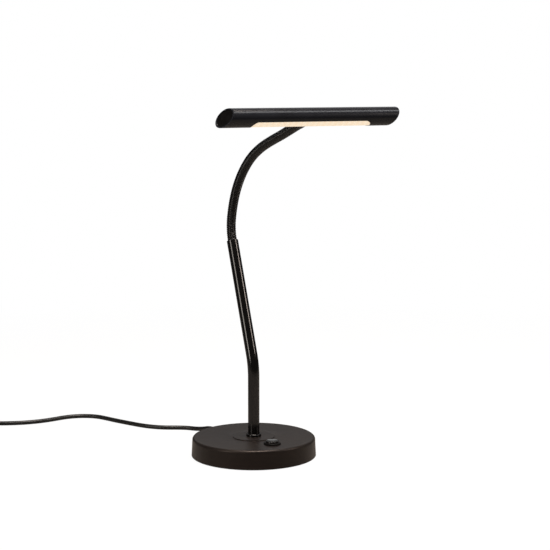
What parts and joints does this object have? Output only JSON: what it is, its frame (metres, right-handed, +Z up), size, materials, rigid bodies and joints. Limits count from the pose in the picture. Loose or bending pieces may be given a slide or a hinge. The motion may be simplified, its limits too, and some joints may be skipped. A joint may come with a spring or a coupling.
{
  "type": "desk lamp",
  "caption": "Gooseneck desk lamp with a round weighted base, a bent tube, a ribbed flexible neck and a slim tubular light head with slanted ends.",
  "frame": {"origin": "centre of the foot's underside, on the table", "axes": "+Z up; -Y towards the user, the way the neck arches; +X along the light head, to the user's right"},
  "size_m": [0.3823, 0.4052, 0.3635],
  "materials": {
    "base_paint": "matte",
    "gloss_black": "gloss",
    "satin_black": "satin",
    "head_aluminium": "satin black paint",
    "iron": "rough",
    "steel": "zinc plated",
    "bare_aluminium": "mill",
    "brass": "plain",
    "pin_metal": "nickel plated",
    "foam": "matte foam",
    "black_plastic": "fine texture",
    "gloss_plastic": "gloss",
    "white_plastic": "matte",
    "cord_pvc": "satin",
    "lead_pvc": "satin",
    "board": "solder mask",
    "led_board": "white solder mask",
    "led_yellow": "phosphor",
    "opal": "opal, lit"
  },
  "bodies": {
    "base": {"base_shell": "base_paint", "base_weight": "iron", "base_plate": "steel", "foot_pad": "foam", "base_screws": "steel", "tube_collar": "gloss_black", "stem_tube": "gloss_black", "tube_nipple": "steel", "tube_washer": "steel", "tube_nut": "steel", "switch_body": "black_plastic", "switch_contacts": "brass", "driver_case": "white_plastic", "driver_board": "board", "driver_parts": "black_plastic", "terminal_block": "white_plastic", "terminal_screws": "brass", "base_wires": "lead_pvc", "cord_clamp": "black_plastic", "clamp_screws": "steel", "strain_relief": "cord_pvc", "cord_inside": "cord_pvc", "cord": "cord_pvc", "cord_coil": "cord_pvc", "cord_end": "cord_pvc", "cord_tie": "black_plastic", "plug_body": "black_plastic", "plug_pins": "pin_metal", "neck_bush": "steel", "gooseneck_1": "satin_black", "stem_lead": "lead_pvc", "neck_lead_1": "lead_pvc"},
    "button": {"switch_button": "gloss_plastic"},
    "neck_2": {"gooseneck_2": "satin_black", "neck_lead_2": "lead_pvc"},
    "neck_3": {"gooseneck_3": "satin_black", "neck_lead_3": "lead_pvc"},
    "neck_4": {"gooseneck_4": "satin_black", "neck_lead_4": "lead_pvc"},
    "neck_5": {"gooseneck_5": "satin_black", "neck_lead_5": "lead_pvc"},
    "neck_6": {"gooseneck_6": "satin_black", "neck_lead_6": "lead_pvc"},
    "neck_7": {"gooseneck_7": "satin_black", "neck_lead_7": "lead_pvc"},
    "neck_8": {"gooseneck_8": "satin_black", "neck_lead_8": "lead_pvc"},
    "head": {"gooseneck_9": "satin_black", "neck_lead_9": "lead_pvc", "head_ferrule": "satin_black", "head_washer": "steel", "head_nut": "steel", "head_shell": "head_aluminium", "end_cap_left": "black_plastic", "end_cap_right": "black_plastic", "diffuser": "opal", "led_carrier": "bare_aluminium", "led_board": "led_board", "led_chips": "led_yellow", "head_lead": "lead_pvc"}
  },
  "joints": [
    {"name": "neck_bend_1", "type": "hinge", "parent": "base", "child": "neck_2", "pos_m": [0, 0.04899, 0.24456], "axis": [1, 0, 0], "range_deg": [-16, 16]},
    {"name": "neck_swing_2", "type": "hinge", "parent": "neck_2", "child": "neck_3", "pos_m": [0, 0.04205, 0.26686], "axis": [0, 0.915, 0.4035], "range_deg": [-16, 16]},
    {"name": "neck_bend_3", "type": "hinge", "parent": "neck_3", "child": "neck_4", "pos_m": [0, 0.03001, 0.28685], "axis": [1, 0, 0], "range_deg": [-16, 16]},
    {"name": "neck_swing_4", "type": "hinge", "parent": "neck_4", "child": "neck_5", "pos_m": [0, 0.0137, 0.30357], "axis": [0, 0.6388, 0.7694], "range_deg": [-16, 16]},
    {"name": "neck_bend_5", "type": "hinge", "parent": "neck_5", "child": "neck_6", "pos_m": [0, -0.0058, 0.31642], "axis": [1, 0, 0], "range_deg": [-16, 16]},
    {"name": "neck_swing_6", "type": "hinge", "parent": "neck_6", "child": "neck_7", "pos_m": [0, -0.02731, 0.3256], "axis": [0, 0.3272, 0.9449], "range_deg": [-16, 16]},
    {"name": "neck_bend_7", "type": "hinge", "parent": "neck_7", "child": "neck_8", "pos_m": [0, -0.04958, 0.33277], "axis": [1, 0, 0], "range_deg": [-16, 16]},
    {"name": "neck_swing_8", "type": "hinge", "parent": "neck_8", "child": "head", "pos_m": [0, -0.07186, 0.3399], "axis": [0, 0.3239, 0.9461], "range_deg": [-16, 16]},
    {"name": "button_press", "type": "slide", "parent": "base", "child": "button", "axis": [0, 0, 1], "range_m": [-0.0015, 0], "stiffness_N_per_m": 600, "springref_m": 0.002}
  ]
}
